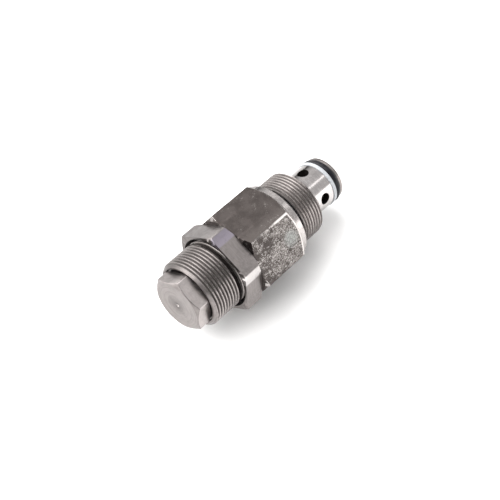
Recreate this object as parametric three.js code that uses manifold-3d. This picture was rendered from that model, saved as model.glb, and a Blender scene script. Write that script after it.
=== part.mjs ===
// Screw-in pressure relief cartridge valve, M30x1.5, pilot operated.
// Units are millimetres and +Z is up. The valve axis lies along +X with the nose at the +X end.
// Stations along the axis are measured from the seating shoulder (0), and the last lines move the whole
// valve so that its origin is the bottom centre of its bounding box.
import * as THREE from 'three';
import { mergeVertices } from 'three/addons/utils/BufferGeometryUtils.js';
import Module from 'manifold-3d';

const wasm = await Module();
wasm.setup();

// ---- driving dimensions ----
const OUTER_SEGMENTS = 36;
const INNER_SEGMENTS = 24;
const PITCH = 1.5;
const CREST_R = 14.88;
const ROOT_R = 14.05;
const THREAD_BORE_R = 15.15;
const FIT = 0.05;
const EDGE = 0.4;
const CHAMFER_SLOPE = Math.tan(THREE.MathUtils.degToRad(30));
const STEEP_SLOPE = Math.tan(THREE.MathUtils.degToRad(40));

const BODY = {
  rear: -27.1, hexEnd: -2.8, threadStart: 2.6, front: 14.4,
  acrossFlats: 35.5, turn: 30, rearFaceR: 18.6, flangeR: 17.6, grooveR: 13.0, leadR: 13.7,
  threadBoreEnd: -17.5, sealBoreR: 14.0, floor: -9.3, pilotPocketR: 8.0, pocketFloor: -1.0,
  springHoleR: 4.9, spigotStart: 3.5, spigotR: 11.9, drainR: 10.4, drainHoleR: 0.9,
  seatOuterR: 17.2, seatInnerR: 15.3, seatRelief: 0.4,
};
const NOSE = {
  rear: 3.6, spigotEnd: 14.2, tip: 33.2, r: 10.0, tipR: 9.92, boreR: 7.0, boreEnd: 27.0, inletR: 4.8,
  ringGroove: [26.8, 31.4], ringGrooveR: 8.0, sealGroove: [7.2, 9.4], sealGrooveR: 10.3,
  holeX: 21.5, holeR: 2.5, holeTurn: -17.5, holeCount: 4, drainSlot: 1.8,
};
const SLEEVE = {
  rear: -51.2, threadEnd: -20.6, front: -11.5, visibleThreadEnd: -37.1, boreR: 10.3, chamfer: 1.3,
  counterboreR: 12.9, counterboreEnd: -50.0, landR: 13.85, sealGroove: [-14.3, -12.3], sealGrooveR: 12.3,
};
const PLUG = {
  face: -57.25, hexEnd: -50.05, acrossFlats: 22, turn: 0, faceR: 10.7,
  shankR: 10.1, front: -39.0, sealGroove: [-48.9, -46.9], sealGrooveR: 8.6, dishR: 8.8, dishDepth: 0.25,
};
const NUT = {
  rear: -36.0, front: -27.15, acrossFlats: 34, turn: -4.6, rearFaceR: 18.9, frontFaceR: 17.8,
  countersinkR: 16.2, sealR: 15.75,
};
const SEAT = { rear: 24.8, front: 26.9, r: 6.85, boreR: 4.6, entryR: 5.6 };
const SPOOL = {
  rear: 7.0, r: 6.85, coneStart: 23.4, front: 26.0, noseR: 4.15, boreR: 4.6, boreEnd: 17.5, inletR: 2.6,
};
const JET = { rear: 19.0, front: 23.0, r: 2.45, holeR: 0.5, slotWidth: 0.7, slotDepth: 1.0 };
const MAIN_SPRING = { rear: -0.4, front: 16.9, meanR: 3.7, wireR: 0.5, turns: 5 };
const PILOT_SEAT = {
  rear: -8.2, front: -1.05, r: 7.85, mouthR: 2.3, boreStart: -6.4, boreR: 1.4, sealGroove: [-5.4, -3.6],
  sealGrooveR: 6.5,
};
const POPPET = {
  rear: -16.4, stemR: 2.4, collar: [-12.6, -11.0], collarR: 8.2, neckR: 3.3, coneStart: -9.6, coneR: 3.0,
  front: -5.2, tipR: 0.55,
};
const PILOT_SPRING = { rear: -31.3, front: -14.1, meanR: 6.6, wireR: 1.4, turns: 5.5 };
const SPRING_SEAT = {
  rear: -38.9, r: 10.15, sealGroove: [-37.4, -35.2], sealGrooveR: 8.5, collarEnd: -32.9, bossR: 4.6,
  front: -28.2,
};
const BACKUP_RING = { rear: 26.9, front: 28.5, innerR: 8.15, r: 10.4, edge: 0.15 };
// Each O-ring's station, inner radius and outer radius, as squeezed into its groove.
const O_RINGS = {
  nose_o_ring: [30.05, 8.1, 10.45],
  nose_sleeve_o_ring: [8.3, 10.42, 11.82],
  shoulder_o_ring: [1.2, 13.15, 15.05],
  pilot_seat_o_ring: [-4.5, 6.62, 7.9],
  spring_seat_o_ring: [-36.3, 8.62, 10.2],
  adjusting_sleeve_o_ring: [-13.3, 12.45, 13.92],
  end_plug_o_ring: [-47.9, 8.72, 10.2],
};

// ---- geometry helpers ----

// Turns a closed geometry into a manifold-3d solid: shared vertices merged, empty triangles dropped.
function solidFrom(geometry) {
  const bare = geometry.clone();
  bare.deleteAttribute('normal');
  bare.deleteAttribute('uv');
  const merged = mergeVertices(bare, 1e-5);
  const index = Array.from(merged.index.array);
  const corners = [];
  for (let i = 0; i < index.length; i += 3) {
    const [a, b, c] = index.slice(i, i + 3);
    if (a !== b && b !== c && c !== a) corners.push(a, b, c);
  }
  const mesh = new wasm.Mesh({
    numProp: 3,
    vertProperties: new Float32Array(merged.attributes.position.array),
    triVerts: new Uint32Array(corners),
  });
  return new wasm.Manifold(mesh);
}

function geometryFrom(solid) {
  const mesh = solid.getMesh();
  const geometry = new THREE.BufferGeometry();
  geometry.setAttribute('position', new THREE.BufferAttribute(Float32Array.from(mesh.vertProperties), 3));
  geometry.setIndex(Array.from(mesh.triVerts));
  geometry.computeVertexNormals();
  return geometry;
}

// A body of revolution about X from [x, radius] points: up the rear face, along the outside towards +X,
// down the front face and back along the bore. A profile that leaves the axis also ends on it.
function turned(profile, segments = OUTER_SEGMENTS) {
  const points = profile.map(([x, r]) => new THREE.Vector2(r, x));
  const onAxis = profile[0][1] === 0;
  if (!onAxis) points.push(points[0].clone());
  const geometry = new THREE.LatheGeometry(points, segments);
  geometry.rotateZ(-Math.PI / 2);
  return solidFrom(geometry);
}

// A hexagonal bar along X with one corner turned by the given angle from +Z towards -Y.
function hexBar(acrossFlats, rear, front, turn) {
  const cornerR = acrossFlats / Math.sqrt(3);
  const geometry = new THREE.CylinderGeometry(cornerR, cornerR, front - rear, 6);
  geometry.rotateZ(-Math.PI / 2);
  geometry.rotateX(THREE.MathUtils.degToRad(turn));
  geometry.translate((rear + front) / 2, 0, 0);
  return solidFrom(geometry);
}

// A hexagonal bar with both ends chamfered down to turned faces; the slopes are axial rise over radius.
function chamferedHex({ acrossFlats, turn, rear, front, rearFaceR, frontFaceR, frontSlope = CHAMFER_SLOPE }) {
  const bigR = acrossFlats * 0.62;
  const rearRise = (bigR - rearFaceR) * CHAMFER_SLOPE;
  const frontRise = (bigR - frontFaceR) * frontSlope;
  const blank = turned([[rear, 0], [rear, rearFaceR], [rear + rearRise, bigR], [front - frontRise, bigR],
    [front, frontFaceR], [front, 0]]);
  return hexBar(acrossFlats, rear, front, turn).intersect(blank);
}

function cylinderX(radius, rear, front, segments = OUTER_SEGMENTS) {
  return turned([[rear, 0], [rear, radius], [front, radius], [front, 0]], segments);
}

// A drilled hole straight out from the axis, at a turn from +Z towards -Y.
function radialDrill(x, radius, reach, turn) {
  const geometry = new THREE.CylinderGeometry(radius, radius, reach, 20);
  geometry.rotateX(Math.PI / 2);
  geometry.translate(x, 0, reach / 2);
  geometry.rotateX(THREE.MathUtils.degToRad(turn));
  return solidFrom(geometry);
}

// Crest and root points of a fine thread between two stations, as ring grooves.
function threadProfile(start, end) {
  const count = Math.floor((end - start) / PITCH);
  const points = [];
  for (let i = 0; i < count; i += 1) {
    const crest = start + i * PITCH;
    points.push([crest, CREST_R], [crest + PITCH / 2, ROOT_R]);
  }
  points.push([start + count * PITCH, CREST_R]);
  return points;
}

class HelixCurve extends THREE.Curve {
  constructor(radius, rear, front, turns) {
    super();
    Object.assign(this, { radius, rear, front, turns });
  }

  getPoint(t) {
    const angle = t * this.turns * 2 * Math.PI;
    const x = THREE.MathUtils.lerp(this.rear, this.front, t);
    return new THREE.Vector3(x, this.radius * Math.sin(angle), this.radius * Math.cos(angle));
  }
}

function coilSpring({ meanR, wireR, rear, front, turns }) {
  const sides = 6;
  const section = new THREE.Shape();
  for (let i = 0; i < sides; i += 1) {
    const angle = (i / sides) * 2 * Math.PI;
    const place = [wireR * Math.cos(angle), wireR * Math.sin(angle)];
    if (i === 0) section.moveTo(...place);
    else section.lineTo(...place);
  }
  section.closePath();
  const path = new HelixCurve(meanR, rear, front, turns);
  const geometry = new THREE.ExtrudeGeometry(section, {
    extrudePath: path, steps: Math.round(turns * 12), curveSegments: 1, bevelEnabled: false,
  });
  return solidFrom(geometry);
}

// ---- looks ----
const STEEL = { color: 0xb4aca8, roughness: 0.38, metalness: 1 };
const POLISHED = { color: 0xc9c6c4, roughness: 0.18, metalness: 1 };
const SCALED_STEEL = { color: 0x7a716c, roughness: 0.5, metalness: 0.9 };
const THREAD_STEEL = { color: 0x9a9088, roughness: 0.42, metalness: 1 };
const SPRING_STEEL = { color: 0x8c8c90, roughness: 0.35, metalness: 1 };
const RUBBER = { color: 0x0d0d0e, roughness: 0.45, metalness: 0 };
const PTFE = { color: 0xe4edf2, roughness: 0.4, metalness: 0 };
const BRASS = { color: 0xb08d4a, roughness: 0.35, metalness: 1 };

function piece(name, solid, look) {
  const mesh = new THREE.Mesh(geometryFrom(solid), new THREE.MeshStandardMaterial(look));
  mesh.name = name;
  return mesh;
}

function oRing(name, segments = OUTER_SEGMENTS) {
  const [x, innerR, outerR] = O_RINGS[name];
  const section = (outerR - innerR) / 2;
  const geometry = new THREE.TorusGeometry(innerR + section, section, 6, segments);
  geometry.rotateY(Math.PI / 2);
  geometry.translate(x, 0, 0);
  return piece(name, solidFrom(geometry), RUBBER);
}

// ---- the body and the nose ----

function valveBody() {
  const hex = chamferedHex({
    ...BODY, front: BODY.hexEnd, frontFaceR: BODY.flangeR, frontSlope: STEEP_SLOPE,
  });
  const flange = turned([[BODY.hexEnd - 1, 0], [BODY.hexEnd - 1, BODY.flangeR - 0.3],
    [BODY.hexEnd, BODY.flangeR], [-BODY.seatRelief, BODY.flangeR], [0, BODY.seatOuterR],
    [0, BODY.seatInnerR], [-BODY.seatRelief, BODY.grooveR], [-BODY.seatRelief, 0]]);
  const stem = turned([[-1, 0], [-1, BODY.grooveR], [BODY.threadStart - 0.5, BODY.grooveR],
    ...threadProfile(BODY.threadStart, BODY.front - 0.7), [BODY.front, BODY.leadR], [BODY.front, 0]]);
  const bore = turned([[BODY.rear - 1, 0], [BODY.rear - 1, THREAD_BORE_R],
    [BODY.threadBoreEnd, THREAD_BORE_R], [BODY.threadBoreEnd + 0.8, BODY.sealBoreR],
    [BODY.floor, BODY.sealBoreR], [BODY.floor, BODY.pilotPocketR], [BODY.pocketFloor, BODY.pilotPocketR],
    [BODY.pocketFloor, BODY.springHoleR], [BODY.spigotStart, BODY.springHoleR],
    [BODY.spigotStart, BODY.spigotR], [BODY.front + 1, BODY.spigotR], [BODY.front + 1, 0]]);
  let solid = hex.add(flange).add(stem).subtract(bore);
  for (const side of [-1, 1]) {
    const drain = cylinderX(BODY.drainHoleR, BODY.floor - 1, BODY.spigotStart + 1, 12);
    solid = solid.subtract(drain.translate([0, side * BODY.drainR, 0]));
  }
  return piece('valve_body', solid, SCALED_STEEL);
}

function noseSleeve() {
  const spigotR = BODY.spigotR - FIT;
  const [grooveStart, grooveEnd] = NOSE.ringGroove;
  const [sealStart, sealEnd] = NOSE.sealGroove;
  let solid = turned([[NOSE.rear, NOSE.boreR], [NOSE.rear, spigotR - 0.4], [NOSE.rear + 0.4, spigotR],
    [sealStart, spigotR], [sealStart, NOSE.sealGrooveR], [sealEnd, NOSE.sealGrooveR], [sealEnd, spigotR],
    [NOSE.spigotEnd, spigotR], [NOSE.spigotEnd, NOSE.r], [grooveStart, NOSE.r],
    [grooveStart, NOSE.ringGrooveR], [grooveEnd, NOSE.ringGrooveR], [grooveEnd, NOSE.tipR],
    [NOSE.tip - 0.5, NOSE.tipR], [NOSE.tip, NOSE.tipR - 0.5], [NOSE.tip, NOSE.inletR + 0.6],
    [NOSE.tip - 0.6, NOSE.inletR], [NOSE.boreEnd, NOSE.inletR], [NOSE.boreEnd, NOSE.boreR]]);
  for (let i = 0; i < NOSE.holeCount; i += 1) {
    const turn = NOSE.holeTurn + (i * 360) / NOSE.holeCount;
    solid = solid.subtract(radialDrill(NOSE.holeX, NOSE.holeR, NOSE.r + 2, turn));
  }
  for (const side of [-1, 1]) {
    const slot = new THREE.BoxGeometry(NOSE.spigotEnd - NOSE.rear + 2, 2, NOSE.drainSlot);
    slot.translate((NOSE.spigotEnd + NOSE.rear) / 2, side * (spigotR + 0.1), 0);
    solid = solid.subtract(solidFrom(slot));
  }
  return piece('nose_sleeve', solid, POLISHED);
}

function backupRing() {
  const { rear, front, innerR, r, edge } = BACKUP_RING;
  const solid = turned([[rear, innerR], [rear, r - edge], [rear + edge, r], [front, r], [front, innerR]]);
  return piece('nose_backup_ring', solid, PTFE);
}

// ---- the main stage ----

function mainStage() {
  const seat = turned([[SEAT.rear, SEAT.entryR], [SEAT.rear, SEAT.r], [SEAT.front, SEAT.r],
    [SEAT.front, SEAT.boreR], [SEAT.rear + 1, SEAT.boreR]], INNER_SEGMENTS);
  const spool = turned([[SPOOL.rear, SPOOL.boreR], [SPOOL.rear, SPOOL.r - EDGE],
    [SPOOL.rear + EDGE, SPOOL.r], [SPOOL.coneStart, SPOOL.r], [SPOOL.front, SPOOL.noseR],
    [SPOOL.front, SPOOL.inletR], [SPOOL.boreEnd, SPOOL.inletR], [SPOOL.boreEnd, SPOOL.boreR]],
  INNER_SEGMENTS);
  const jet = turned([[JET.rear, JET.holeR], [JET.rear, JET.r], [JET.front, JET.r],
    [JET.front, JET.holeR]], 16);
  const driverSlot = new THREE.BoxGeometry(2 * JET.slotDepth, 3 * JET.r, JET.slotWidth);
  driverSlot.translate(JET.rear, 0, 0);
  return [
    piece('main_seat', seat, STEEL),
    piece('main_spool', spool, POLISHED),
    piece('orifice_screw', jet.subtract(solidFrom(driverSlot)), BRASS),
    piece('main_spring', coilSpring(MAIN_SPRING), SPRING_STEEL),
  ];
}

// ---- the pilot stage ----

function pilotStage() {
  const [sealStart, sealEnd] = PILOT_SEAT.sealGroove;
  const seat = turned([[PILOT_SEAT.rear, PILOT_SEAT.mouthR], [PILOT_SEAT.rear, PILOT_SEAT.r - EDGE],
    [PILOT_SEAT.rear + EDGE, PILOT_SEAT.r], [sealStart, PILOT_SEAT.r], [sealStart, PILOT_SEAT.sealGrooveR],
    [sealEnd, PILOT_SEAT.sealGrooveR], [sealEnd, PILOT_SEAT.r], [PILOT_SEAT.front, PILOT_SEAT.r],
    [PILOT_SEAT.front, PILOT_SEAT.boreR], [PILOT_SEAT.boreStart, PILOT_SEAT.boreR]], INNER_SEGMENTS);
  const [collarStart, collarEnd] = POPPET.collar;
  const poppet = turned([[POPPET.rear, 0], [POPPET.rear, POPPET.stemR - EDGE],
    [POPPET.rear + EDGE, POPPET.stemR], [collarStart, POPPET.stemR], [collarStart, POPPET.collarR],
    [collarEnd, POPPET.collarR], [collarEnd, POPPET.neckR], [POPPET.coneStart, POPPET.coneR],
    [POPPET.front, POPPET.tipR], [POPPET.front, 0]], INNER_SEGMENTS);
  return [
    piece('pilot_seat', seat, STEEL),
    oRing('pilot_seat_o_ring', INNER_SEGMENTS),
    piece('pilot_poppet', poppet, POLISHED),
    piece('pilot_spring', coilSpring(PILOT_SPRING), SPRING_STEEL),
  ];
}

// ---- the adjuster ----

function springSeat() {
  const [sealStart, sealEnd] = SPRING_SEAT.sealGroove;
  const solid = turned([[SPRING_SEAT.rear, 0], [SPRING_SEAT.rear, SPRING_SEAT.r - EDGE],
    [SPRING_SEAT.rear + EDGE, SPRING_SEAT.r], [sealStart, SPRING_SEAT.r],
    [sealStart, SPRING_SEAT.sealGrooveR], [sealEnd, SPRING_SEAT.sealGrooveR], [sealEnd, SPRING_SEAT.r],
    [SPRING_SEAT.collarEnd, SPRING_SEAT.r], [SPRING_SEAT.collarEnd, SPRING_SEAT.bossR],
    [SPRING_SEAT.front - EDGE, SPRING_SEAT.bossR], [SPRING_SEAT.front, SPRING_SEAT.bossR - EDGE],
    [SPRING_SEAT.front, 0]], INNER_SEGMENTS);
  return piece('spring_seat', solid, STEEL);
}

function adjustingSleeve() {
  const [sealStart, sealEnd] = SLEEVE.sealGroove;
  const firstThread = SLEEVE.rear + SLEEVE.chamfer;
  const solid = turned([[SLEEVE.rear, SLEEVE.counterboreR], [SLEEVE.rear, CREST_R - SLEEVE.chamfer],
    ...threadProfile(firstThread, SLEEVE.visibleThreadEnd),
    [SLEEVE.threadEnd - 0.6, CREST_R], [SLEEVE.threadEnd, SLEEVE.landR], [sealStart, SLEEVE.landR],
    [sealStart, SLEEVE.sealGrooveR], [sealEnd, SLEEVE.sealGrooveR], [sealEnd, SLEEVE.landR],
    [SLEEVE.front - 0.4, SLEEVE.landR], [SLEEVE.front, SLEEVE.landR - 0.4], [SLEEVE.front, SLEEVE.boreR],
    [SLEEVE.counterboreEnd, SLEEVE.boreR], [SLEEVE.counterboreEnd, SLEEVE.counterboreR]]);
  return piece('adjusting_sleeve', solid, THREAD_STEEL);
}

function endPlug() {
  const [sealStart, sealEnd] = PLUG.sealGroove;
  const head = chamferedHex({
    acrossFlats: PLUG.acrossFlats, turn: PLUG.turn, rear: PLUG.face, front: PLUG.hexEnd,
    rearFaceR: PLUG.faceR, frontFaceR: PLUG.faceR,
  });
  const shank = turned([[PLUG.hexEnd - 1, 0], [PLUG.hexEnd - 1, PLUG.shankR], [sealStart, PLUG.shankR],
    [sealStart, PLUG.sealGrooveR], [sealEnd, PLUG.sealGrooveR], [sealEnd, PLUG.shankR],
    [PLUG.front - 0.6, PLUG.shankR], [PLUG.front, PLUG.shankR - 0.6], [PLUG.front, 0]]);
  const dish = turned([[PLUG.face - 1, 0], [PLUG.face - 1, PLUG.dishR], [PLUG.face, PLUG.dishR],
    [PLUG.face + PLUG.dishDepth, 0.8], [PLUG.face + PLUG.dishDepth, 0]], INNER_SEGMENTS);
  return piece('end_plug', head.add(shank).subtract(dish), STEEL);
}

// ---- the lock nut ----

function lockNut() {
  const bore = turned([[NUT.rear - 1, 0], [NUT.rear - 1, NUT.countersinkR + 1],
    [NUT.rear + 1.05, THREAD_BORE_R], [NUT.front - 1.05, THREAD_BORE_R],
    [NUT.front + 1, NUT.countersinkR + 1], [NUT.front + 1, 0]]);
  const hex = chamferedHex(NUT);
  return piece('lock_nut', hex.subtract(bore), STEEL);
}

function lockNutSeal() {
  const innerR = THREAD_BORE_R + FIT;
  const solid = turned([[NUT.front - 0.7, innerR], [NUT.front, NUT.sealR], [NUT.front, innerR]], 32);
  return piece('lock_nut_seal', solid, RUBBER);
}

// ---- the whole valve ----

function groupOf(...meshes) {
  const group = new THREE.Group();
  group.add(...meshes);
  return group;
}

const valve = new THREE.Group();
valve.add(
  groupOf(valveBody(), noseSleeve(), backupRing(), oRing('nose_o_ring'),
    oRing('nose_sleeve_o_ring'), oRing('shoulder_o_ring')),
  groupOf(...mainStage()),
  groupOf(...pilotStage()),
  groupOf(springSeat(), oRing('spring_seat_o_ring', INNER_SEGMENTS)),
  groupOf(adjustingSleeve(), endPlug(), oRing('adjusting_sleeve_o_ring'), oRing('end_plug_o_ring')),
  groupOf(lockNut(), lockNutSeal()),
);
const nutCornerR = NUT.acrossFlats / Math.sqrt(3);
const restHeight = nutCornerR * Math.cos(THREE.MathUtils.degToRad(NUT.turn));
valve.position.set(-(PLUG.face + NOSE.tip) / 2, 0, restHeight);

export default valve;
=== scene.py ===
import math

import bmesh
import bpy
from mathutils import Matrix, Vector


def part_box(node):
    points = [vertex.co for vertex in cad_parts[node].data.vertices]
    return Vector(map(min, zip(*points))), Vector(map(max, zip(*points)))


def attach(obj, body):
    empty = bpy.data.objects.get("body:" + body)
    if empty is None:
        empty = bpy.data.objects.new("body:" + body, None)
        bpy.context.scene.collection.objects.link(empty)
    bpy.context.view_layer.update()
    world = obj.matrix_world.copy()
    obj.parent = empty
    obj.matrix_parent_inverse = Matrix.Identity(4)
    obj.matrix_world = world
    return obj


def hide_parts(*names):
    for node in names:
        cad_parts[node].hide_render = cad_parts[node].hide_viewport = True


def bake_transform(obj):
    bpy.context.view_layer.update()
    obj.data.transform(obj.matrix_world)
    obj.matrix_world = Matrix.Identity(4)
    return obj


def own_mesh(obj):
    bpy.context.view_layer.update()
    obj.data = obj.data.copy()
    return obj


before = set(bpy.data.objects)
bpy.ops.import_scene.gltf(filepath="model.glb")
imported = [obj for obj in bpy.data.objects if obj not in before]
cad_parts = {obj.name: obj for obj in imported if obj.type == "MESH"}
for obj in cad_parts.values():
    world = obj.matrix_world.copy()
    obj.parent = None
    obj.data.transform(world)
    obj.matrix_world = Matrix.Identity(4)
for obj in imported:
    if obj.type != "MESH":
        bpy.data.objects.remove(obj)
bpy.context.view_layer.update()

# ---- driving dimensions, in millimetres along the axis from the seating shoulder ----
MM = 0.001
PITCH = 1.5
CREST_R = 14.9
ROOT_R = 14.0
THREAD_BORE_R = 15.15
CHAMFER_SLOPE = math.tan(math.radians(30))
STEEP_SLOPE = math.tan(math.radians(40))
HEX_CORNER_R = 0.35
FACE_EDGE = 0.08
FLAT_EDGE = 0.18
FIT = 0.15

BODY = dict(rear=-27.1, hex_end=-2.8, thread_start=2.6, front=14.4, flats=35.5, turn=30.0,
            rear_face_r=18.6, flange_r=17.6, seat_outer_r=17.2, seat_inner_r=15.3, relief=0.4,
            groove_r=13.0, lead_r=13.7, bore_mouth=0.8, thread_bore_end=-17.5, seal_bore_r=14.0,
            floor=-9.3, pocket_r=8.0, pocket_floor=-1.0, spring_hole_r=4.9, spigot_start=3.5,
            spigot_r=11.9)
NOSE = dict(rear=3.6, spigot_r=11.85, spigot_end=14.2, tip=33.2, r=10.0, tip_r=9.92, bore_r=7.0,
            bore_end=27.0, inlet_r=4.8, groove=(26.8, 31.4), groove_r=8.0, seal=(7.2, 9.4),
            seal_r=10.3, hole_x=21.5, hole_r=2.5, hole_turn=-17.5, holes=4)
SLEEVE = dict(rear=-51.2, chamfer=1.3, thread_end=-20.6, run_out=0.9, front=-11.5, bore_r=10.3,
              counterbore_r=12.9, counterbore_end=-50.0, ledge=(11.9, 12.4), land_r=13.85,
              seal=(-14.3, -12.3), seal_r=12.3)
PLUG = dict(face=-57.25, hex_end=-50.05, flats=22.0, turn=0.0, face_r=10.7, shank_r=10.1,
            front=-39.0, seal=(-48.9, -46.9), seal_r=8.6, dish_r=8.8, dish=0.25, pip_r=0.6, pip=0.2)
NUT = dict(rear=-36.0, front=-27.15, flats=34.0, turn=-4.6, rear_face_r=18.9, front_face_r=17.8,
           countersink_r=16.2)

# ---- where the valve lies in the row frame ----
plug_low, plug_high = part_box("end_plug")
AXIS_Z = (plug_low.z + plug_high.z) / 2
SHOULDER_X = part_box("valve_body")[1].x - BODY["front"] * MM


def place(x, r, turn):
    """A station, radius and turn from +Z towards -Y, as a point in metres."""
    return Vector((SHOULDER_X + x * MM, -r * math.sin(turn) * MM, AXIS_Z + r * math.cos(turn) * MM))


# ---- profiles ----
def rounded(corners, steps=3):
    """An open line through (x, r) corners; a corner (x, r, size) is rounded off over that size."""
    points = []
    last = len(corners) - 1
    for i, corner in enumerate(corners):
        here = Vector(corner[:2])
        if len(corner) == 2 or i in (0, last):
            points.append(tuple(here))
            continue
        before = Vector(corners[i - 1][:2]) - here
        after = Vector(corners[i + 1][:2]) - here
        size = min(corner[2], before.length * 0.45, after.length * 0.45)
        enter = here + before.normalized() * size
        leave = here + after.normalized() * size
        for k in range(steps + 1):
            t = k / steps
            points.append(tuple(enter * (1 - t) ** 2 + here * (2 * t * (1 - t)) + leave * t ** 2))
    return points


def hex_radius(flats, turn_deg, angle):
    """Distance from the axis to a hexagon's outline at an angle, its corners slightly rounded."""
    half = flats / 2
    off = (angle - math.radians(turn_deg)) % (math.pi / 3) - math.pi / 6
    flat_end = math.atan((half - HEX_CORNER_R) * math.tan(math.pi / 6) / half)
    if abs(off) < flat_end:
        return half / math.cos(off)
    centre = (half - HEX_CORNER_R) / math.cos(math.pi / 6)
    beta = math.pi / 6 - abs(off)
    return centre * math.cos(beta) + math.sqrt(HEX_CORNER_R ** 2 - (centre * math.sin(beta)) ** 2)


def hex_angles(flats, turn_deg):
    """Angles round a hexagon: every 2.5 degrees from each corner, with a few more at the corners."""
    half = flats / 2
    corner = 30 - math.degrees(math.atan((half - HEX_CORNER_R) * math.tan(math.pi / 6) / half))
    offsets = [0, corner * 0.5, corner] + [2.5 * k for k in range(1, 13)]
    marks = {round((turn_deg + 60 * k + sign * off) % 360, 4)
             for k in range(6) for sign in (-1, 1) for off in offsets}
    return [math.radians(mark) for mark in sorted(marks)]


ROUND_ANGLES = [math.radians(2.5 * k) for k in range(144)]
SMALL_ANGLES = [math.radians(5 * k) for k in range(72)]

# Height of a 60 degree thread over one pitch, root at 0 and crest at 1.
THREAD_SHAPE = [(0.0, 0.0), (0.06, 0.02), (0.11, 0.1), (0.21, 0.37), (0.32, 0.67), (0.42, 0.94),
                (0.455, 1.0), (0.5, 1.0), (0.545, 1.0), (0.58, 0.94), (0.68, 0.67), (0.79, 0.37),
                (0.89, 0.1), (0.94, 0.02)]


def along(limits, x):
    """Radius at x on a line through (x, r) points."""
    for (x0, r0), (x1, r1) in zip(limits, limits[1:]):
        if x <= x1:
            return r0 + (r1 - r0) * (x - x0) / (x1 - x0)
    return limits[-1][1]


def thread(start, end, limits, angle):
    """Profile of a right-hand thread at one angle, cut down to a turned outline at its ends."""
    points = []
    for turn in range(-1, math.ceil((end - start) / PITCH) + 1):
        for phase, height in THREAD_SHAPE:
            x = start + PITCH * (turn + phase + angle / (2 * math.pi))
            x = min(max(x, start), end)
            points.append((x, min(ROOT_R + (CREST_R - ROOT_R) * height, along(limits, x))))
    return points


# ---- meshes ----
PREFIX = "look_"
SHARP_ANGLE = math.radians(38)
CLOSED_PITCH = 2.04


def add_object(name, data):
    obj = bpy.data.objects.new(name, data)
    bpy.context.scene.collection.objects.link(obj)
    return obj


def shade(mesh):
    mesh.shade_smooth()
    mesh.set_sharp_from_angle(angle=SHARP_ANGLE)


def clean(name, mesh):
    """Welds a mesh, turns its faces outwards and shades it smooth between its sharp edges."""
    work = bmesh.new()
    work.from_mesh(mesh)
    bmesh.ops.remove_doubles(work, verts=work.verts, dist=1e-6)
    bmesh.ops.dissolve_degenerate(work, edges=work.edges, dist=1e-7)
    bmesh.ops.recalc_face_normals(work, faces=work.faces)
    work.to_mesh(mesh)
    work.free()
    shade(mesh)
    return add_object(PREFIX + name, mesh)


def weigh(obj):
    """Keeps flats flat next to their small rounded edges."""
    weight = obj.modifiers.new("weighted", "WEIGHTED_NORMAL")
    weight.keep_sharp = True
    weight.weight = 80


def revolve(name, profile_at, angles, closed=True):
    """A piece made of one profile per angle, joined round the axis."""
    turns = angles + [angles[0] + 2 * math.pi]
    rows = [profile_at(angle) for angle in turns]
    count = len(rows[0])
    verts = [place(x, r, angle) for angle, row in zip(turns, rows) for x, r in row]
    faces = []
    for i in range(len(turns) - 1):
        for j in range(count if closed else count - 1):
            k = (j + 1) % count
            faces.append((i * count + j, i * count + k, (i + 1) * count + k, (i + 1) * count + j))
    mesh = bpy.data.meshes.new(name)
    mesh.from_pydata(verts, [], faces)
    return clean(name, mesh)


def turned(name, corners, angles=ROUND_ANGLES):
    """A body of revolution; a profile that starts on the axis is open, any other is a ring."""
    points = rounded(corners)
    return revolve(name, lambda angle: points, angles, closed=corners[0][1] > 0)


def torus(name, x, inner_r, outer_r, widen, sides=20):
    """An O-ring; widen above 1 is one squeezed wider than it is high."""
    section = (outer_r - inner_r) / 2
    mean = inner_r + section
    turns = [2 * math.pi * k / sides for k in range(sides)]
    points = [(x - section * widen * math.cos(a), mean + section * math.sin(a)) for a in turns]
    return revolve(name, lambda angle: points, ROUND_ANGLES)


def spring(name, rear, front, mean_r, wire_r, turns, span=(0.0, 1.0), sides=14, per_turn=40):
    """A wire spring with closed first and last coils; span is the share of it that is made."""
    closed_pitch = CLOSED_PITCH * wire_r
    middle_pitch = (front - rear - 2 * closed_pitch) / (turns - 2)
    steps = round(turns * per_turn * (span[1] - span[0]))
    verts = []
    for i in range(steps + 1):
        t = turns * (span[0] + (span[1] - span[0]) * i / steps)
        low, high = min(t, 1.0), max(t - (turns - 1), 0.0)
        x = rear + closed_pitch * (low + high) + middle_pitch * (t - low - high)
        angle = 2 * math.pi * t
        for k in range(sides):
            a = 2 * math.pi * k / sides
            verts.append(place(x + wire_r * math.sin(a), mean_r + wire_r * math.cos(a), angle))
    faces = [(i * sides + k, i * sides + (k + 1) % sides,
              (i + 1) * sides + (k + 1) % sides, (i + 1) * sides + k)
             for i in range(steps) for k in range(sides)]
    faces.append(tuple(range(sides)))
    faces.append(tuple(steps * sides + k for k in reversed(range(sides))))
    mesh = bpy.data.meshes.new(name)
    mesh.from_pydata(verts, [], faces)
    return clean(name, mesh)


def paint(obj, materials, zone=None):
    """Gives a piece its materials; zone(x, r, turn) is the material of a face with that middle."""
    for material in materials:
        obj.data.materials.append(material)
    if zone is None:
        return
    for face in obj.data.polygons:
        middle = face.center
        x = (middle.x - SHOULDER_X) / MM
        r = math.hypot(middle.y, middle.z - AXIS_Z) / MM
        turn = math.atan2(-middle.y, middle.z - AXIS_Z)
        face.material_index = materials.index(zone(x, r, turn))


def belongs(obj, body):
    """The piece stands for the CAD node of the same name, which is hidden, and moves with that body.
    """
    node = obj.name.removeprefix(PREFIX)
    weigh(obj)
    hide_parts(node)
    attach(obj, body)


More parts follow.
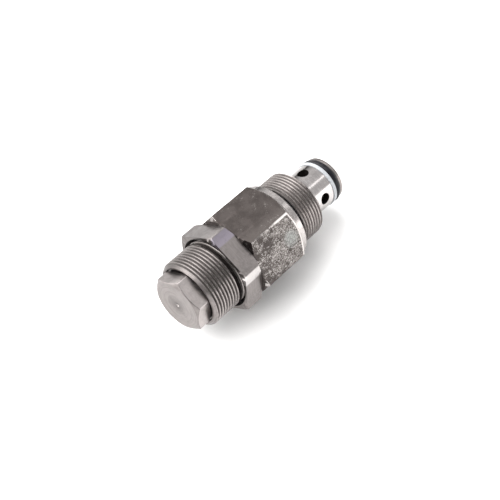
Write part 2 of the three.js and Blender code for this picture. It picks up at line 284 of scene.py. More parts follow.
# ---- materials ----
class Shader:
    """A node material with short ways to add its nodes. Lengths are in millimetres."""

    def __init__(self, name):
        self.material = bpy.data.materials.new(name)
        self.material.use_nodes = True
        self.tree = self.material.node_tree
        self.tree.nodes.clear()
        spot = self.add("ShaderNodeTexCoord", out="Object")
        spot = self.vector("SUBTRACT", spot, (SHOULDER_X, 0, AXIS_Z))
        self.point = self.vector("MULTIPLY", spot, (1 / MM, 1 / MM, 1 / MM))
        parts = self.add("ShaderNodeSeparateXYZ", self.point).node
        self.x, self.y, self.z = parts.outputs
        across = self.vector("MULTIPLY", self.point, (0, 1, 1))
        self.radius = self.vector("LENGTH", across, out="Value")
        self.outward = self.vector("NORMALIZE", across)

    def add(self, kind, *inputs, out=0, named=None, **settings):
        node = self.tree.nodes.new(kind)
        for key, value in settings.items():
            setattr(node, key, value)
        for key, value in [*enumerate(inputs), *(named or {}).items()]:
            if value is None:
                continue
            if isinstance(value, bpy.types.NodeSocket):
                self.tree.links.new(value, node.inputs[key])
            else:
                node.inputs[key].default_value = value
        return node.outputs[out]

    def vector(self, operation, *inputs, out=0):
        return self.add("ShaderNodeVectorMath", *inputs, operation=operation, out=out)

    def math(self, operation, *inputs):
        return self.add("ShaderNodeMath", *inputs, operation=operation)

    def noise(self, vector, scale, detail=4.0, roughness=0.55, distortion=0.0):
        return self.add("ShaderNodeTexNoise", named={
            "Vector": vector, "Scale": scale, "Detail": detail, "Roughness": roughness,
            "Distortion": distortion})

    def ramp(self, value, low, high, to_low=0.0, to_high=1.0):
        return self.add("ShaderNodeMapRange", value, low, high, to_low, to_high,
                        interpolation_type="SMOOTHSTEP")

    def mix(self, factor, a, b):
        node = self.add("ShaderNodeMix", data_type="RGBA", out=2).node
        for key, value in ((0, factor), (6, a), (7, b)):
            if isinstance(value, bpy.types.NodeSocket):
                self.tree.links.new(value, node.inputs[key])
            else:
                node.inputs[key].default_value = (*value, 1.0) if key else value
        return node.outputs[2]

    def turn(self):
        """Degrees round the axis, from +Z towards -Y."""
        return self.math("DEGREES", self.math("ARCTAN2", self.math("MULTIPLY", self.y, -1.0), self.z))

    def rings(self, scale):
        """Fine lines that run round the axis on barrels and faces alike."""
        drift = self.math("MULTIPLY", self.y, 0.03)
        around = self.add("ShaderNodeCombineXYZ", self.x, self.radius, drift)
        return self.noise(around, scale, detail=3.0, roughness=0.6)

    def bump(self, height, depth, normal=None):
        return self.add("ShaderNodeBump", named={
            "Height": height, "Strength": 1.0, "Distance": depth * MM, "Normal": normal})

    def finish(self, colour, metallic, roughness, normal, **constants):
        named = {"Base Color": colour, "Metallic": metallic, "Roughness": roughness,
                 "Normal": normal, **constants}
        surface = self.add("ShaderNodeBsdfPrincipled", named=named)
        output = self.tree.nodes.new("ShaderNodeOutputMaterial")
        self.tree.links.new(surface, output.inputs["Surface"])
        return self.material


# Share of the bare steel covered by painted shade on the side turned towards +Y.
PAINTED_SHADE_SHARE = 0.6
PAINTED_SHADE_TONE = (0.03, 0.026, 0.024)
GRIME = (0.035, 0.03, 0.027)
# Worn bare edge of the body's hexagon, painted bright as a highlight.
WORN_EDGE_HIGHLIGHT = (0.62, 0.585, 0.565)
PALE_PATCH = (-8.0, -15.9, 9.0)
PALE = (0.25, 0.26, 0.25)


def worked_steel(name, dark, light, rough, line_scale, line_depth, grime=0.25, darker_inward=None,
                 reflection_bands=()):
    """Machined steel: tool lines, cloudy tone, a little grime and painted shade on the side turned
    towards +Y; darker_inward darkens it more by radius, towards the axis.

    reflection_bands are painted reflections: stripes along the axis in another tone, from and to turn
    in degrees, and colour.
    """
    s = Shader(name)
    lines = s.rings(line_scale)
    cloud = s.noise(s.point, 0.45, detail=6.0)
    fine = s.noise(s.point, 6.0, detail=3.0)
    tone = s.math("ADD", s.math("MULTIPLY", lines, 0.55), s.math("MULTIPLY", cloud, 0.45))
    colour = s.mix(s.ramp(tone, 0.36, 0.64), dark, light)
    smudge = s.ramp(s.noise(s.point, 1.1, detail=7.0, roughness=0.65), 0.52, 0.72, 0.0, grime)
    if darker_inward is not None:
        # Darker towards the axis, most at the thread roots.
        plain_r, darkest_r, most = darker_inward
        deep = s.ramp(s.radius, darkest_r, plain_r, most, 0.0)
        deep = s.math("MULTIPLY", deep, s.ramp(cloud, 0.3, 0.55, 0.75, 1.0))
        smudge = s.math("MAXIMUM", smudge, deep)
    turn = s.turn()
    # Painted reflections: stripes in another tone between two turns round the axis.
    for start, end, reflection_tone in reflection_bands:
        after_start = s.ramp(turn, start - 1, start + 1)
        before_end = s.ramp(turn, end + 1.5, end - 1.5)
        colour = s.mix(s.math("MULTIPLY", after_start, before_end), colour, reflection_tone)
    # Painted shade: surfaces turned towards +Y are darkened, more the further they turn.
    away = s.add("ShaderNodeSeparateXYZ", s.outward).node.outputs["Y"]
    far_side_shade = s.math("MULTIPLY", s.ramp(away, -0.2, 0.5, 0.0, PAINTED_SHADE_SHARE), s.ramp(cloud, 0.3, 0.7, 0.9, 1.1))
    colour = s.mix(far_side_shade, colour, PAINTED_SHADE_TONE)
    colour = s.mix(smudge, colour, GRIME)
    roughness = s.math("ADD", s.ramp(cloud, 0.35, 0.65, rough[0], rough[1]),
                       s.math("MULTIPLY", smudge, 0.25))
    metallic = s.ramp(smudge, 0.0, 1.0, 1.0, 0.45)
    height = s.math("ADD", lines, s.math("MULTIPLY", fine, 0.35))
    return s.finish(colour, metallic, roughness, s.bump(height, line_depth))


def scaled_steel():
    """The body's hexagon: dark brown scale, worn bare on its edges with a painted highlight on one
    corner and along the front edge of one flat, and scuffed bright on one flat.
    """
    s = Shader("scaled_steel")
    cloud = s.noise(s.point, 0.22, detail=8.0, roughness=0.62)
    grain = s.noise(s.point, 2.6, detail=6.0, roughness=0.65)
    streaked = s.vector("MULTIPLY", s.point, (0.8, 1.5, 1.5))
    speck = s.noise(streaked, 1.35, detail=10.0, roughness=0.74, distortion=1.2)
    patch = s.noise(s.point, 0.28, detail=4.0)
    tone = s.math("ADD", s.math("MULTIPLY", cloud, 0.6), s.math("MULTIPLY", grain, 0.4))
    colour = s.mix(s.ramp(tone, 0.4, 0.6), (0.043, 0.035, 0.032), (0.068, 0.057, 0.053))

    from_edge = s.math("SUBTRACT", s.turn(), BODY["turn"])
    on_flat = s.math("MULTIPLY", s.ramp(from_edge, -0.3, 0.5), s.ramp(from_edge, 60.3, 59.5))
    forward = s.ramp(s.x, BODY["rear"], BODY["hex_end"], -0.04, 0.05)
    bias = s.math("ADD", s.math("MULTIPLY", s.math("SUBTRACT", patch, 0.5), 0.7), forward)
    scratch = s.math("ADD", speck, bias)
    scuff = s.math("MULTIPLY", on_flat, s.ramp(scratch, 0.455, 0.55))
    few = s.ramp(s.math("ADD", speck, s.math("MULTIPLY", bias, 0.8)), 0.61, 0.7, 0.0, 0.4)
    # Painted highlight: the worn edge on one corner grows brighter towards the front, and a bright
    # line runs along the front edge of the scuffed flat.
    edge_end = s.ramp(s.x, -16.0, -11.0, 0.25, 1.0)
    by_flat = s.math("MULTIPLY", s.ramp(from_edge, -0.9, -0.3), s.ramp(from_edge, 2.6, 1.2))
    edge = s.math("MULTIPLY", edge_end, by_flat)
    slant = s.math("MULTIPLY", s.math("SUBTRACT", s.radius, BODY["flange_r"]), STEEP_SLOPE)
    to_chamfer = s.math("ADD", s.x, slant)
    front_edge = s.ramp(to_chamfer, BODY["hex_end"] - 0.9, BODY["hex_end"] - 0.35)
    front_edge = s.math("MULTIPLY", front_edge, s.math("MULTIPLY", on_flat, 0.85))
    edge = s.math("MAXIMUM", edge, front_edge)
    worn = s.math("MAXIMUM", s.math("MAXIMUM", scuff, few), edge)

    bare = s.mix(s.ramp(speck, 0.46, 0.6), (0.065, 0.056, 0.052), (0.34, 0.317, 0.303))
    bare = s.mix(edge, bare, WORN_EDGE_HIGHLIGHT)
    rubbed = s.math("MULTIPLY", s.ramp(from_edge, -16.0, -2.0, 0.0, 0.5),
                    s.ramp(from_edge, 0.5, -0.3))
    colour = s.mix(rubbed, colour, (0.115, 0.1, 0.093))
    colour = s.mix(worn, colour, bare)
    near = s.vector("DISTANCE", s.point, PALE_PATCH, out="Value")
    pale = s.math("MULTIPLY", s.ramp(near, 5.0, 1.5), s.ramp(speck, 0.42, 0.55, 0.3, 0.8))
    colour = s.mix(pale, colour, PALE)
    roughness = s.ramp(worn, 0.0, 1.0, 0.46, 0.34)
    metallic = s.ramp(worn, 0.0, 1.0, 0.72, 0.97)
    height = s.math("ADD", s.math("MULTIPLY", grain, 0.5), s.math("MULTIPLY", scratch, -0.8))
    return s.finish(colour, metallic, roughness, s.bump(height, 0.05))


def faced_steel():
    """The plug's face: concentric tool rings, painted shade of the slight dish darker towards the
    centre, and marks at the centre.
    """
    s = Shader("faced_steel")
    around = s.add("ShaderNodeCombineXYZ", s.radius, 0.0, s.math("MULTIPLY", s.y, 0.05))
    rings = s.noise(around, 1.6, detail=5.0, roughness=0.7)
    cloud = s.noise(s.point, 0.4, detail=6.0, roughness=0.6)
    tone = s.math("ADD", s.math("MULTIPLY", rings, 0.5), s.math("MULTIPLY", cloud, 0.5))
    colour = s.mix(s.ramp(tone, 0.38, 0.62), (0.165, 0.149, 0.143), (0.235, 0.214, 0.207))
    # Painted shade of the slight dish: darker towards the centre.
    centre = s.math("ADD", s.radius, s.math("MULTIPLY", cloud, 3.0))
    colour = s.mix(s.ramp(centre, 7.8, 2.5, 0.0, 0.7), colour, (0.095, 0.084, 0.08))
    mark = s.math("MULTIPLY", s.ramp(s.radius, 1.9, 1.0),
                  s.ramp(s.noise(s.point, 1.3, detail=4.0), 0.5, 0.58))
    colour = s.mix(mark, colour, (0.05, 0.043, 0.04))
    height = s.math("ADD", rings, s.math("MULTIPLY", mark, -0.8))
    return s.finish(colour, 1.0, s.ramp(cloud, 0.35, 0.65, 0.36, 0.46), s.bump(height, 0.035))


def rubber():
    s = Shader("seal_rubber")
    grain = s.noise(s.point, 3.0, detail=5.0)
    oil = s.ramp(s.noise(s.point, 0.5, detail=3.0), 0.4, 0.6)
    colour = s.mix(oil, (0.006, 0.006, 0.008), (0.014, 0.014, 0.017))
    roughness = s.ramp(oil, 0.0, 1.0, 0.28, 0.42)
    return s.finish(colour, 0.0, roughness, s.bump(grain, 0.015), **{"Specular IOR Level": 0.15})


def ptfe():
    s = Shader("ptfe")
    grain = s.noise(s.point, 1.5, detail=5.0)
    colour = s.mix(s.ramp(grain, 0.3, 0.7), (0.33, 0.343, 0.363), (0.41, 0.42, 0.436))
    return s.finish(colour, 0.0, s.ramp(grain, 0.3, 0.7, 0.3, 0.42), s.bump(grain, 0.02))


SCALED = scaled_steel()
MACHINED = worked_steel("machined_steel", (0.37, 0.34, 0.33), (0.51, 0.48, 0.468), (0.2, 0.28),
                        4.0, 0.012, grime=0.2)
GROUND = worked_steel("ground_steel", (0.46, 0.432, 0.424), (0.56, 0.53, 0.522), (0.13, 0.2),
                      7.0, 0.004, grime=0.1)
THREADS = worked_steel("thread_steel", (0.23, 0.205, 0.198), (0.38, 0.345, 0.335), (0.2, 0.3),
                       5.0, 0.02, grime=0.3, darker_inward=(14.84, 14.3, 0.93))
STEM_THREADS = worked_steel("stem_thread_steel", (0.27, 0.243, 0.234), (0.40, 0.365, 0.353),
                            (0.2, 0.3), 5.0, 0.02, grime=0.25, darker_inward=(14.75, 14.2, 0.75))
SATIN = worked_steel("satin_steel", (0.235, 0.212, 0.205), (0.30, 0.273, 0.265), (0.3, 0.4),
                     3.0, 0.012, grime=0.2)
# The nut carries two painted reflections: a lavender stripe and a bright stripe along its flats.
NUT_STEEL = worked_steel("nut_steel", (0.225, 0.203, 0.197), (0.285, 0.26, 0.252), (0.3, 0.4),
                         3.0, 0.012, grime=0.15,
                         reflection_bands=[(-4, 9, (0.31, 0.28, 0.325)), (56, 71, (0.60, 0.57, 0.56))])
TURNED = worked_steel("turned_steel", (0.35, 0.325, 0.312), (0.46, 0.43, 0.42), (0.32, 0.42),
                      2.2, 0.02, grime=0.25)
HEAD = worked_steel("plug_steel", (0.45, 0.41, 0.398), (0.53, 0.485, 0.473), (0.3, 0.4),
                    3.0, 0.012, grime=0.2)
RIM = worked_steel("rim_steel", (0.14, 0.126, 0.122), (0.22, 0.2, 0.194), (0.28, 0.38),
                   3.0, 0.012, grime=0.4)
# Painted shade: near-black steel for grooves, holes, bores, countersinks and the gaps between parts,
# where shade falls.
RECESS_SHADE = worked_steel("oiled_recess", (0.008, 0.006, 0.006), (0.018, 0.015, 0.014), (0.6, 0.7),
                        3.0, 0.01, grime=0.8)
WIRE = worked_steel("spring_steel", (0.33, 0.33, 0.34), (0.5, 0.5, 0.52), (0.28, 0.4), 5.0, 0.01)
FACED = faced_steel()
BRASS = worked_steel("jet_brass", (0.58, 0.41, 0.18), (0.76, 0.58, 0.28), (0.25, 0.35), 5.0, 0.01)
RUBBER = rubber()
PTFE = ptfe()


# ---- the body ----
def hex_sides(part, angle, span, face_radii, front_slope=CHAMFER_SLOPE):
    """Corners of a chamfered hexagon's side at one angle, from the rear face to the front one."""
    r = hex_radius(part["flats"], part["turn"], angle)
    (rear, front), (rear_r, front_r) = span, face_radii
    rear_rise = max(r - rear_r, 0) * CHAMFER_SLOPE
    front_rise = max(r - front_r, 0) * front_slope
    return [(rear, min(r, rear_r), FACE_EDGE), (rear + rear_rise, r, FLAT_EDGE),
            (front - front_rise, r, FLAT_EDGE), (front, min(r, front_r), FACE_EDGE)]


def body_profile(angle):
    b = BODY
    start = b["thread_start"] - 0.5
    face_radii = (b["rear_face_r"], b["flange_r"])
    outside = rounded([
        (b["rear"], THREAD_BORE_R + b["bore_mouth"]),
        *hex_sides(b, angle, (b["rear"], b["hex_end"]), face_radii, STEEP_SLOPE),
        (-b["relief"], b["flange_r"], 0.12), (0, b["seat_outer_r"], 0.12),
        (0, b["seat_inner_r"], 0.08), (-b["relief"], b["groove_r"], 0.3), (start, b["groove_r"])])
    limits = [(start, b["groove_r"]), (start + 1.4, CREST_R + 0.01),
              (b["front"] - 1.2, CREST_R + 0.01), (b["front"], b["lead_r"])]
    inside = rounded([
        (b["front"], b["lead_r"]), (b["front"], b["spigot_r"], 0.1),
        (b["spigot_start"], b["spigot_r"], 0.1), (b["spigot_start"], b["spring_hole_r"], 0.1),
        (b["pocket_floor"], b["spring_hole_r"], 0.1), (b["pocket_floor"], b["pocket_r"], 0.1),
        (b["floor"], b["pocket_r"], 0.1), (b["floor"], b["seal_bore_r"], 0.2),
        (b["thread_bore_end"] + 0.8, b["seal_bore_r"], 0.1),
        (b["thread_bore_end"], THREAD_BORE_R, 0.1), (b["rear"] + b["bore_mouth"], THREAD_BORE_R)])
    return outside + thread(start, b["front"], limits, angle) + inside


# How far past an edge the middle of a face may lie and still count as on the edge's near side.
EDGE_MARGIN = 0.12
SHADED_CHAMFER = (-8, 12)


def body_zone(x, r, turn):
    """Dark scale on the hexagon's sides and rear, threads in front, clean cuts between them, and
    painted shade in the groove, the bores and a rear chamfer strip by the nut.
    """
    b = BODY
    if x > b["thread_start"] + 0.3 and r > ROOT_R - 0.05:
        return STEM_THREADS
    # Painted shade in the groove under the shoulder and in the bores behind the thread.
    if r < b["groove_r"] + 1.2:
        return RECESS_SHADE if x < b["thread_start"] else MACHINED
    rear_edge = b["rear"] + max(r - b["rear_face_r"], 0) * CHAMFER_SLOPE
    front_edge = b["hex_end"] - max(r - b["flange_r"], 0) * STEEP_SLOPE
    if r > b["flats"] / 2 - 0.05 and rear_edge + EDGE_MARGIN < x < front_edge - EDGE_MARGIN:
        return SCALED
    if x > rear_edge + EDGE_MARGIN:
        return MACHINED
    # Painted shade on the rear chamfer strip next to the nut.
    if SHADED_CHAMFER[0] < math.degrees(turn) - b["turn"] < SHADED_CHAMFER[1]:
        return RECESS_SHADE
    return MACHINED if r > b["rear_face_r"] + 0.65 else SCALED


valve_body = revolve("valve_body", body_profile, hex_angles(BODY["flats"], BODY["turn"]))
paint(valve_body, [SCALED, MACHINED, STEM_THREADS, RECESS_SHADE], body_zone)
belongs(valve_body, "valve_body")


# ---- the nose ----
def cutter(work):
    """A cutter from a bmesh, which is used up."""
    mesh = bpy.data.meshes.new("cutter")
    work.to_mesh(mesh)
    work.free()
    return add_object("cutter", mesh)


def drill(x, radius, reach, turn_deg):
    """A round cutter straight out from the axis."""
    work = bmesh.new()
    bmesh.ops.create_cone(work, cap_ends=True, segments=48, radius1=radius * MM,
                          radius2=radius * MM, depth=reach * MM)
    bit = cutter(work)
    turn = Matrix.Rotation(math.radians(turn_deg), 4, "X")
    out = Matrix.Translation((0, 0, reach / 2 * MM))
    bit.matrix_world = Matrix.Translation(place(x, 0, 0)) @ turn @ out
    return bit


def cut(obj, cutters):
    """Takes the cutters out of the piece for good and deletes them."""
    for cutter in cutters:
        boolean = obj.modifiers.new("cut", "BOOLEAN")
        boolean.object = cutter
        boolean.solver = "EXACT"
    graph = bpy.context.evaluated_depsgraph_get()
    mesh = bpy.data.meshes.new_from_object(obj.evaluated_get(graph))
    obj.modifiers.clear()
    for cutter in cutters:
        bpy.data.objects.remove(cutter)
    obj.data = mesh
    shade(mesh)


n = NOSE
nose = turned("nose_sleeve", [
    (n["rear"], n["bore_r"] + 0.2), (n["rear"], n["spigot_r"] - 0.4, 0.1),
    (n["rear"] + 0.4, n["spigot_r"], 0.1), (n["seal"][0], n["spigot_r"], 0.1),
    (n["seal"][0], n["seal_r"], 0.1), (n["seal"][1], n["seal_r"], 0.1),
    (n["seal"][1], n["spigot_r"], 0.1), (n["spigot_end"], n["spigot_r"], 0.15),
    (n["spigot_end"], n["r"], 0.25), (n["groove"][0], n["r"], 0.12),
    (n["groove"][0], n["groove_r"], 0.1), (n["groove"][1], n["groove_r"], 0.1),
    (n["groove"][1], n["tip_r"], 0.12), (n["tip"] - 0.5, n["tip_r"], 0.2),
    (n["tip"], n["tip_r"] - 0.5, 0.2), (n["tip"], n["inlet_r"] + 0.6, 0.1),
    (n["tip"] - 0.6, n["inlet_r"], 0.1), (n["bore_end"], n["inlet_r"], 0.1),
    (n["bore_end"], n["bore_r"], 0.1), (n["rear"] + 0.2, n["bore_r"])])
cut(nose, [drill(n["hole_x"], n["hole_r"], n["r"] + 2, n["hole_turn"] + 360 * k / n["holes"])
           for k in range(n["holes"])])


def nose_zone(x, r, turn):
    """A duller tip in front of the groove, and painted shade in the holes and bores."""
    if x > n["groove"][1] - 0.1:
        return SATIN
    # Painted shade in the holes and bores.
    return RECESS_SHADE if r < n["r"] - EDGE_MARGIN else GROUND


paint(nose, [GROUND, RECESS_SHADE, SATIN], nose_zone)
belongs(nose, "valve_body")

ring = n["groove"][0]
backup = turned("nose_backup_ring", [
    (ring + 0.1, 8.15), (ring + 0.1, 10.4, 0.2), (ring + 1.7, 10.4, 0.2), (ring + 1.7, 8.15)])
paint(backup, [PTFE])
belongs(backup, "valve_body")


# ---- seals: name, body, station, inner and outer radius, width against height ----
def middle(span):
    return (span[0] + span[1]) / 2


SEALS = [
    ("nose_o_ring", "valve_body", n["groove"][1] - 1.42, 8.1, 10.45, 1.18),
    ("nose_sleeve_o_ring", "valve_body", middle(n["seal"]), 10.42, 11.82, 1.0),
    ("shoulder_o_ring", "valve_body", 1.2, 13.15, 15.05, 1.0),
    ("pilot_seat_o_ring", "valve_body", -4.5, 6.62, 7.9, 1.0),
    ("spring_seat_o_ring", "spring_seat", -36.3, 8.62, 10.2, 1.0),
    ("adjusting_sleeve_o_ring", "adjuster", middle(SLEEVE["seal"]), 12.45, 13.92, 1.0),
    ("end_plug_o_ring", "adjuster", middle(PLUG["seal"]), 8.72, 10.2, 1.0),
]
for name, body, x, inner_r, outer_r, widen in SEALS:
    seal = torus(name, x, inner_r, outer_r, widen)
    paint(seal, [RUBBER])
    belongs(seal, body)
lip = turned("lock_nut_seal", [(NUT["front"] - 0.7, 15.2), (NUT["front"] - 0.02, 15.75, 0.05),
                               (NUT["front"], 15.2)])
paint(lip, [RUBBER])
belongs(lip, "lock_nut_carrier")


# ---- the adjusting sleeve ----
def sleeve_profile(angle):
    a = SLEEVE
    lead_r = CREST_R - a["chamfer"]
    limits = [(a["rear"], lead_r), (a["rear"] + a["chamfer"], CREST_R + 0.01),
              (a["thread_end"] - a["run_out"], CREST_R + 0.01), (a["thread_end"], a["land_r"])]
    mouth = rounded([
        (a["rear"] + 0.15, a["counterbore_r"]), (a["rear"], a["counterbore_r"] + 0.15, 0.05),
        (a["rear"], lead_r)])
    inside = rounded([
        (a["thread_end"], a["land_r"]), (a["seal"][0], a["land_r"], 0.1),
        (a["seal"][0], a["seal_r"], 0.1), (a["seal"][1], a["seal_r"], 0.1),
        (a["seal"][1], a["land_r"], 0.1), (a["front"] - 0.4, a["land_r"], 0.1),
        (a["front"], a["land_r"] - 0.4, 0.1), (a["front"], a["bore_r"], 0.1),
        (a["counterbore_end"], a["bore_r"], 0.1), (a["counterbore_end"], a["ledge"][0]),
        (a["counterbore_end"], a["ledge"][1]), (a["counterbore_end"], a["counterbore_r"])])
    return mouth + thread(a["rear"], a["thread_end"], limits, angle) + inside


sleeve = revolve("adjusting_sleeve", sleeve_profile, ROUND_ANGLES)


def sleeve_zone(x, r, turn):
    """A dull lead and rim, painted shade in the joint round the plug with one lit ring in it, threads
    elsewhere.

    The thread just behind the nut is painted dark, as painted shade from the nut.
    """
    a = SLEEVE
    if r < a["counterbore_r"] - 0.05 and x < a["front"] - 1:
        return RIM if a["ledge"][0] < r < a["ledge"][1] else RECESS_SHADE
    # Painted shade on the thread just behind the nut.
    if NUT["rear"] - 1.4 < x < NUT["rear"]:
        return RECESS_SHADE
    return RIM if x < a["rear"] + 0.9 or x > a["thread_end"] else THREADS


paint(sleeve, [THREADS, RIM, RECESS_SHADE], sleeve_zone)
belongs(sleeve, "adjuster")


# ---- the end plug ----
def plug_profile(angle):
    p = PLUG
    floor = p["face"] + p["dish"]
    return rounded([
        (floor + p["pip"], 0), (floor + p["pip"], p["pip_r"] * 0.4, 0.1), (floor, p["pip_r"], 0.1),
        (p["face"], p["dish_r"], 0.6),
        *hex_sides(p, angle, (p["face"], p["hex_end"]), (p["face_r"], p["face_r"])),
        (p["hex_end"], p["shank_r"], 0.1), (p["seal"][0], p["shank_r"], 0.1),
        (p["seal"][0], p["seal_r"], 0.1), (p["seal"][1], p["seal_r"], 0.1),
        (p["seal"][1], p["shank_r"], 0.1), (p["front"] - 0.6, p["shank_r"], 0.1),
        (p["front"], p["shank_r"] - 0.6, 0.1), (p["front"], 0)])


def plug_zone(x, r, turn):
    """A faced end, plain sides, and painted shade where the sleeve surrounds the plug."""
    chamfer = max(r - PLUG["face_r"], 0) * CHAMFER_SLOPE
    if x < PLUG["face"] + PLUG["dish"] + chamfer:
        return FACED
    # Painted shade where the sleeve surrounds the plug.
    return RECESS_SHADE if x > SLEEVE["rear"] + 0.9 else HEAD


plug = revolve("end_plug", plug_profile, hex_angles(PLUG["flats"], PLUG["turn"]), closed=False)
paint(plug, [HEAD, FACED, RECESS_SHADE], plug_zone)
belongs(plug, "adjuster")


# ---- the lock nut ----
def nut_profile(angle):
    depth = NUT["countersink_r"] - THREAD_BORE_R
    face_radii = (NUT["rear_face_r"], NUT["front_face_r"])
    return rounded([
        (NUT["rear"] + depth, THREAD_BORE_R), (NUT["rear"], NUT["countersink_r"], 0.1),
        *hex_sides(NUT, angle, (NUT["rear"], NUT["front"]), face_radii),
        (NUT["front"], NUT["countersink_r"], 0.1),
        (NUT["front"] - depth, THREAD_BORE_R)])


def nut_zone(x, r, turn):
    # Painted shade in the countersinks.
    return RECESS_SHADE if r < NUT["countersink_r"] - 0.03 else NUT_STEEL


nut = revolve("lock_nut", nut_profile, hex_angles(NUT["flats"], NUT["turn"]))
paint(nut, [NUT_STEEL, RECESS_SHADE], nut_zone)
belongs(nut, "lock_nut")

# ---- the pieces inside: name, body, slot, material, corners ----
spool_r = NOSE["bore_r"] - FIT
pilot_r = BODY["pocket_r"] - FIT
seat_r = SLEEVE["bore_r"] - FIT
INSIDE = [
    ("main_seat", "valve_body", "ground_steel", GROUND, [
        (24.8, 5.6), (24.8, spool_r, 0.1), (26.9, spool_r, 0.1), (26.9, 4.6, 0.1),
        (25.8, 4.6, 0.1)]),
    ("main_spool", "main_spool", "ground_steel", GROUND, [
        (7.0, 4.6), (7.0, spool_r - 0.4, 0.1), (7.4, spool_r, 0.1), (23.4, spool_r, 0.05),
        (26.0, 4.15, 0.1), (26.0, 2.6, 0.1), (17.5, 2.6, 0.1), (17.5, 4.6)]),
    ("pilot_seat", "valve_body", "ground_steel", GROUND, [
        (-8.2, 2.3), (-8.2, pilot_r - 0.4, 0.1), (-7.8, pilot_r, 0.1), (-5.4, pilot_r, 0.1),
        (-5.4, 6.5, 0.1), (-3.6, 6.5, 0.1), (-3.6, pilot_r, 0.1), (-1.05, pilot_r, 0.1),
        (-1.05, 1.4, 0.1), (-6.4, 1.4)]),
    ("pilot_poppet", "pilot_poppet", "ground_steel", GROUND, [
        (-16.4, 0), (-16.4, 2.0, 0.1), (-16.0, 2.4, 0.1), (-12.6, 2.4, 0.2), (-12.6, 8.2, 0.15),
        (-11.0, 8.2, 0.15), (-11.0, 3.3, 0.2), (-9.6, 3.0, 0.1), (-5.2, 0.55, 0.15), (-5.2, 0)]),
    ("spring_seat", "spring_seat", "turned_steel", TURNED, [
        (-38.9, 0), (-38.9, seat_r - 0.4, 0.1), (-38.5, seat_r, 0.1), (-37.4, seat_r, 0.1),
        (-37.4, 8.5, 0.1), (-35.2, 8.5, 0.1), (-35.2, seat_r, 0.1), (-32.9, seat_r, 0.15),
        (-32.9, 4.6, 0.3), (-28.6, 4.6, 0.1), (-28.2, 4.2, 0.1), (-28.2, 0)]),
]
for name, body, slot, material, corners in INSIDE:
    piece = turned(name, corners, SMALL_ANGLES)
    paint(piece, [material])
    belongs(piece, body)

JET = dict(rear=19.0, front=23.0, r=2.45, hole_r=0.5, slot=(2.0, 7.0, 0.7))
jet = turned("orifice_screw", [
    (JET["rear"], JET["hole_r"]), (JET["rear"], JET["r"], 0.2), (JET["front"], JET["r"], 0.1),
    (JET["front"], JET["hole_r"])], SMALL_ANGLES)
work = bmesh.new()
bmesh.ops.create_cube(work, size=MM)
bmesh.ops.scale(work, vec=JET["slot"], verts=work.verts)
slot_cutter = cutter(work)
slot_cutter.location = place(JET["rear"], 0, 0)
cut(jet, [slot_cutter])
paint(jet, [BRASS])
belongs(jet, "main_spool")

MAIN_SPRING = dict(rear=-0.4, front=16.9, mean_r=3.7, wire_r=0.5, turns=5)
main_spring = spring("main_spring", **MAIN_SPRING)
paint(main_spring, [WIRE])
belongs(main_spring, "valve_body")
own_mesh(main_spring)

# Moving pieces hold the pilot spring at both ends, so it is made in two halves that meet in the
# middle.
PILOT_SPRING = dict(rear=-31.3, front=-14.1, mean_r=6.6, wire_r=1.4, turns=5.5)
CUT = 0.002
pilot_rear = PILOT_SPRING["rear"] - PILOT_SPRING["wire_r"]
pilot_front = PILOT_SPRING["front"] + PILOT_SPRING["wire_r"]
pilot_middle = (pilot_rear + pilot_front) / 2
for name, span, bodies, start, end in (
        ("pilot_spring", (0, 0.5 - CUT), ("spring_seat", "valve_body"), pilot_rear, pilot_middle),
        ("pilot_spring_front", (0.5 + CUT, 1), ("valve_body", "pilot_poppet"), pilot_middle,
         pilot_front)):
    coil = spring(name, span=span, **PILOT_SPRING)
    paint(coil, [WIRE])
    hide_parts("pilot_spring")
    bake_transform(coil)

# ---- floor, light and camera ----
# The valve rests on the nut's lowest corner and the flange's lower front edge, so the table slopes
# a little in the row frame.
nut_low, nut_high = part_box("lock_nut")
corner_run = (NUT["flats"] / math.sqrt(3) - NUT["front_face_r"]) * CHAMFER_SLOPE
rest_a = Vector((nut_high.x - corner_run * MM, 0, nut_low.z))
rest_b = Vector((SHOULDER_X - BODY["relief"] * MM, 0, AXIS_Z - BODY["flange_r"] * MM))
slope = math.atan2(rest_b.z - rest_a.z, rest_b.x - rest_a.x)
FLOOR_GAP = 0.02
FLOOR_SIZE = 3.0

floor_shader = Shader("pale_floor")
paper = floor_shader.noise(floor_shader.point, 0.08, detail=5.0)
floor_colour = floor_shader.mix(floor_shader.ramp(paper, 0.3, 0.7), (0.86, 0.855, 0.85),
                                (0.89, 0.885, 0.88))
floor_material = floor_shader.finish(floor_colour, 0.0, 0.7, floor_shader.bump(paper, 0.02))
floor_mesh = bpy.data.meshes.new("floor")
half = FLOOR_SIZE / 2
floor_mesh.from_pydata([(-half, -half, 0), (half, -half, 0), (half, half, 0), (-half, half, 0)], [],
                       [(0, 1, 2, 3)])
floor_mesh.materials.append(floor_material)
floor = add_object("floor", floor_mesh)
floor.location = rest_a - Vector((0, 0, FLOOR_GAP * MM))
floor.rotation_euler = (0, -slope, 0)


def soft_light(name, direction, distance, size, size_y, watts):
    """A white rectangle of light that faces the origin from a direction; sizes in metres."""
    light = bpy.data.lights.new(name, "AREA")
    light.shape = "RECTANGLE"
    light.size = size
    light.size_y = size_y
    light.energy = watts
    lamp = add_object(name, light)
    way = Vector(direction).normalized()
    lamp.location = way * distance
    lamp.rotation_euler = way.to_track_quat("Z", "X").to_euler()


soft_light("window", (-0.3, 0.7, 0.8), 1.4, 1.3, 1.1, 12.0)
soft_light("strip", (0.49, -0.24, 0.84), 1.0, 0.5, 0.08, 0.26)

# The room, as brightness by direction: a dim ceiling, a bright sky on the far left, a white wall
# low in front, a dim wall behind and a person's dark shape at the plug's end. SKY and PERSON give
# a direction, how near to it they begin and are full, and their brightness.
CEILING = 0.76
SKY = ((-0.42, 0.64, 0.64), 0.42, 0.97, 4.8)
PERSON = ((-0.909, -0.315, 0.272), 0.9, 0.965, 0.05)
FRONT_WALL = 3.0
BACK_WALL = 0.3


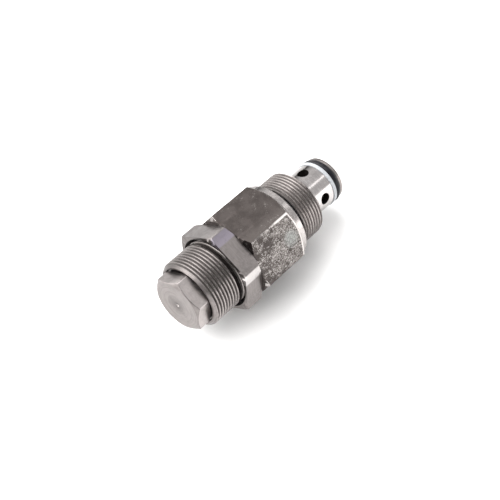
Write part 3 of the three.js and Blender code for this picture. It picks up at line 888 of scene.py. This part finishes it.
class Room(Shader):
    """World nodes, with the same short ways to add them."""

    def __init__(self, world):
        world.use_nodes = True
        self.tree = world.node_tree
        self.tree.nodes.clear()
        self.way = self.add("ShaderNodeTexCoord", out="Generated")

    def towards(self, direction, low, high):
        near = self.vector("DOT_PRODUCT", self.way, Vector(direction).normalized(), out="Value")
        return self.ramp(near, low, high)

    def blend(self, factor, a, b):
        change = self.math("SUBTRACT", b, a)
        return self.math("ADD", a, self.math("MULTIPLY", factor, change))


world = bpy.data.worlds.new("room")
bpy.context.scene.world = world
room = Room(world)
level = room.add("ShaderNodeSeparateXYZ", room.way).node
wall = room.ramp(level.outputs["Z"], 0.33, 0.25)
front = room.math("MULTIPLY", wall, room.ramp(level.outputs["Y"], -0.1, -0.35))
rear = room.math("MULTIPLY", wall, room.ramp(level.outputs["Y"], 0.2, 0.6))
strength = room.blend(front, CEILING, FRONT_WALL)
strength = room.blend(rear, strength, BACK_WALL)
strength = room.blend(room.towards(*SKY[:3]), strength, SKY[3])
strength = room.blend(room.towards(*PERSON[:3]), strength, PERSON[3])
background = room.add("ShaderNodeBackground", (1, 1, 1, 1), strength)
output = room.tree.nodes.new("ShaderNodeOutputWorld")
room.tree.links.new(background, output.inputs["Surface"])

CAMERA_FROM_SHOULDER = Vector((-0.22985, -0.18485, 0.33908))
CAMERA_RIGHT = Vector((0.65877, -0.75237, 0.00771))
CAMERA_BACK = Vector((-0.48246, -0.41463, 0.77166))
SENSOR = 36
FOCAL_LENGTH = 79.10
back = CAMERA_BACK.normalized()
right = (CAMERA_RIGHT - back * CAMERA_RIGHT.dot(back)).normalized()
up = back.cross(right)
camera = add_object("camera", bpy.data.cameras.new("camera"))
camera.data.sensor_width = SENSOR
camera.data.lens = FOCAL_LENGTH
camera.data.clip_start = 0.01
camera_place = Vector((SHOULDER_X, 0, AXIS_Z)) + CAMERA_FROM_SHOULDER
camera_turn = Matrix((right, up, back)).transposed().to_4x4()
camera.matrix_world = Matrix.Translation(camera_place) @ camera_turn
bpy.context.scene.camera = camera
bpy.context.scene.view_settings.view_transform = "Standard"
